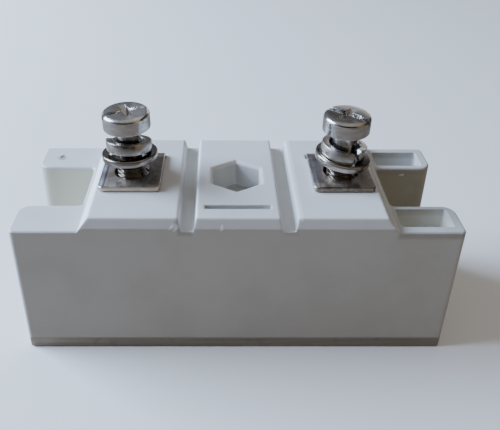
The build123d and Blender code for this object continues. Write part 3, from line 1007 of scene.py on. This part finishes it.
def makeScrew(side, shape, seat):
    name = "screw_" + side
    body = meshFrom(spunMesh(screwProfile(shape), shape["steps"], False), name + "Body")
    blank = bpy.data.objects.new(name + "Blank", body)
    scene.collection.objects.link(blank)
    build = bmesh.new()
    build.from_mesh(cutHead(shape, blank))
    build.from_mesh(threadRidge(shape))
    # closer than elsewhere, as the thread's corners are small
    bmesh.ops.remove_doubles(build, verts=build.verts, dist=samePlace / 10.0)
    whole = bpy.data.meshes.new(name + "Mesh")
    build.to_mesh(whole)
    build.free()
    whole.transform(Matrix.Rotation(math.radians(seat["turned"]), 4, "Z"))
    whole.transform(leaned(seat) @ Matrix.Translation((seat["middle"], 0.0, seat["under"])))
    smoothBy(whole, 32.0)
    whole.materials.clear()
    return addPiece("detailed_" + name, whole, "brightZinc", [name])


for side, seat in screwSeats.items():
    piece = makeScrew(side, screwShape, seat)
    print(piece.name, len(piece.data.polygons), "faces")

# flat washers
washerShape = {
    "radius": 0.0060,
    "bore": 0.00285,
    "thickness": 0.0014,
    "rollOver": 0.00030,
    "burr": 0.00012,
    "steps": 96,
    "tilts": {"left": (5.0, 0.0), "right": (-1.0, 7.5)},
}


def tiltedBy(tilt, lean):
    # tilts a washer about X and Y, and then with the screw it hangs on
    aboutX = Matrix.Rotation(math.radians(-tilt[0]), 4, "X")
    aboutY = Matrix.Rotation(math.radians(tilt[1]), 4, "Y")
    return Matrix.Rotation(math.radians(lean), 4, "Y") @ aboutX @ aboutY


def makeWasher(side, shape):
    name = "washer_" + side
    low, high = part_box(name)
    half = shape["thickness"] / 2.0
    r, bore, roll, burr = shape["radius"], shape["bore"], shape["rollOver"], shape["burr"]
    profile = arcPoints((r - roll, half - roll), roll, 0.0, 90.0, 5)
    profile += arcPoints((bore + roll, half - roll), roll, 90.0, 180.0, 5)
    profile += arcPoints((bore + burr, -half + burr), burr, 180.0, 270.0, 2)
    profile += arcPoints((r - burr, -half + burr), burr, 270.0, 360.0, 2)
    mesh = meshFrom(spunMesh(profile, shape["steps"], True), name + "Mesh")
    turn = tiltedBy(shape["tilts"][side], screwSeats[side]["lean"])
    mesh.transform(Matrix.Translation((low + high) / 2.0) @ turn)
    smoothBy(mesh, 35.0)
    return addPiece("detailed_" + name, mesh, "washerZinc", [name])


for side in screwSeats:
    makeWasher(side, washerShape)
print("washers made")

# spring washers
springShape = {
    "radius": 0.004125,
    "width": 0.00235,
    "thickness": 0.0015,
    "corner": 0.00022,
    "rise": 0.0009,
    "gap": 12.0,
    "steps": 96,
    "runOut": 0.0001,
    # tilt, and where the split is
    "seats": {"left": ((11.0, 1.0), 160.0), "right": ((3.0, 9.0), 285.0)},
}


def makeSpring(side, shape):
    name = "spring_" + side
    low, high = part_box(name)
    tilt, splitAt = shape["seats"][side]
    gap = shape["gap"]
    turns = (360.0 - gap) / 360.0
    mesh = grown(
        helixTree,
        {
            "Radius": shape["radius"],
            "Turns": turns,
            "Rise": shape["rise"],
            "Steps Per Turn": shape["steps"],
            "Foot Width": shape["thickness"],
            "Crest Width": shape["thickness"],
            "Section Depth": shape["width"],
            "Corner": shape["corner"],
            "Run Out": shape["runOut"],
            "Finish": finishes["springSteel"],
        },
    )
    mesh.transform(Matrix.Translation((0.0, 0.0, -shape["rise"] / 2.0)))
    turn = tiltedBy(tilt, screwSeats[side]["lean"])
    turn = turn @ Matrix.Rotation(math.radians(splitAt + gap / 2.0), 4, "Z")
    mesh.transform(Matrix.Translation((low + high) / 2.0) @ turn)
    smoothBy(mesh, 35.0)
    return addPiece("detailed_" + name, mesh, "springSteel", [name])


for side in screwSeats:
    makeSpring(side, springShape)
print("spring washers made")

# terminal strips with rolled edges
stripShape = {"samePlace": 1e-6, "flat": 1.0, "edge": edgeSettings(0.00042, 4, 40)}


def makeStrip(name, shape):
    build = bmesh.new()
    build.from_mesh(nodes[name].data)
    bmesh.ops.remove_doubles(build, verts=build.verts, dist=shape["samePlace"])
    flat = math.radians(shape["flat"])
    bmesh.ops.dissolve_limit(build, angle_limit=flat, verts=build.verts, edges=build.edges)
    clean = bpy.data.objects.new(name + "Clean", meshFrom(build, name + "Clean"))
    scene.collection.objects.link(clean)
    mesh = finished(clean, [("BEVEL", shape["edge"])])
    bpy.data.objects.remove(clean)
    smoothBy(mesh, 32.0)
    mesh.materials.clear()
    return addPiece("detailed_" + name, mesh, "nickelStrip", [name])


for name in ("terminal_left", "terminal_right"):
    makeStrip(name, stripShape)
print("terminal strips made")

# floor, light and surroundings
studio = {
    "floor": (0.92, 0.90, 0.87),
    "floorCloud": 0.96,
    "floorRoughness": 0.75,
    "floorGrain": {"Cloud Scale": 3.0, "Coarse Scale": 60.0, "Fine Scale": 400.0},
    "floorBounce": (0.28, 0.232, 0.178),
    "floorHalf": 0.9,
    "keyPlace": (-0.64, 0.124, 0.37),
    "keySize": (0.52, 0.42),
    "keyPower": 20.0,
    "keyColour": (0.54, 0.70, 1.0),
    "fillPlace": (0.55, -0.35, 0.20),
    "fillSize": (0.4, 0.3),
    "fillPower": 0.19,
    "fillColour": (1.0, 0.70, 0.30),
    "aim": (0.0, 0.0, 0.03),
    "backdrop": (0.50, 0.53, 0.58),
    "roomColour": (0.008, 0.006, 0.004),
    "glows": {
        # direction, how near it starts and is full, colour
        "window": ((-0.92, 0.05, 0.38), (0.45, 0.97), (0.17, 0.20, 0.25)),
        "ceiling": ((0.10, -0.12, 0.97), (0.40, 0.90), (0.475, 0.458, 0.440)),
        "rearWall": ((-0.45, 0.74, 0.50), (0.70, 0.98), (0.23, 0.245, 0.28)),
        "rearSheet": ((0.38, 0.92, 0.08), (0.92, 0.99), (0.95, 0.95, 1.0)),
    },
    "worldStrength": 1.03,
}


def makeFloor(look):
    half = look["floorHalf"]
    mesh = bpy.data.meshes.new("floor")
    build = bmesh.new()
    for x, y in ((-half, -half), (half, -half), (half, half), (-half, half)):
        build.verts.new((x, y, 0.0))
    build.faces.new(list(build.verts))
    build.to_mesh(mesh)
    build.free()
    floor = bpy.data.objects.new("floor", mesh)
    scene.collection.objects.link(floor)
    material, tree, shader = newFinish("paleFloor", {"Roughness": look["floorRoughness"]})
    grain = useGroup(tree, grainGroup, look["floorGrain"])
    pale = look["floor"]
    deeper = tuple(c * look["floorCloud"] for c in pale)
    seen = blend(tree, grain.outputs["Cloud"], pale, deeper)
    direct = put(tree, "ShaderNodeLightPath").outputs["Is Camera Ray"]
    tree.links.new(blend(tree, direct, look["floorBounce"], seen), shader.inputs["Base Color"])
    mesh.materials.append(material)


def makeLight(name, place, size, power, colour, aim):
    data = bpy.data.lights.new(name, "AREA")
    data.shape = "RECTANGLE"
    data.size, data.size_y = size
    data.energy = power
    data.color = colour
    light = bpy.data.objects.new(name, data)
    light.location = place
    towards = Vector(aim) - Vector(place)
    light.rotation_mode = "QUATERNION"
    light.rotation_quaternion = towards.to_track_quat("-Z", "Y")
    scene.collection.objects.link(light)


def makeSurroundings(look):
    world = bpy.data.worlds.new("room")
    world.use_nodes = True
    tree = world.node_tree
    back = tree.nodes["Background"]
    where = put(tree, "ShaderNodeTexCoord").outputs["Generated"]
    colour = look["roomColour"]
    for towards, spread, glow in look["glows"].values():
        towards = tuple(Vector(towards).normalized())
        dot = vector2(tree, "DOT_PRODUCT", where, towards).outputs["Value"]
        colour = blend(tree, ramp(tree, dot, *spread), colour, glow)
    direct = put(tree, "ShaderNodeLightPath").outputs["Is Camera Ray"]
    tree.links.new(blend(tree, direct, colour, look["backdrop"]), back.inputs["Color"])
    back.inputs["Strength"].default_value = look["worldStrength"]
    scene.world = world


makeFloor(studio)
for which in ("key", "fill"):
    given = [studio[which + part] for part in ("Place", "Size", "Power", "Colour")]
    makeLight(which + "Light", *given, studio["aim"])
makeSurroundings(studio)
print("studio made")
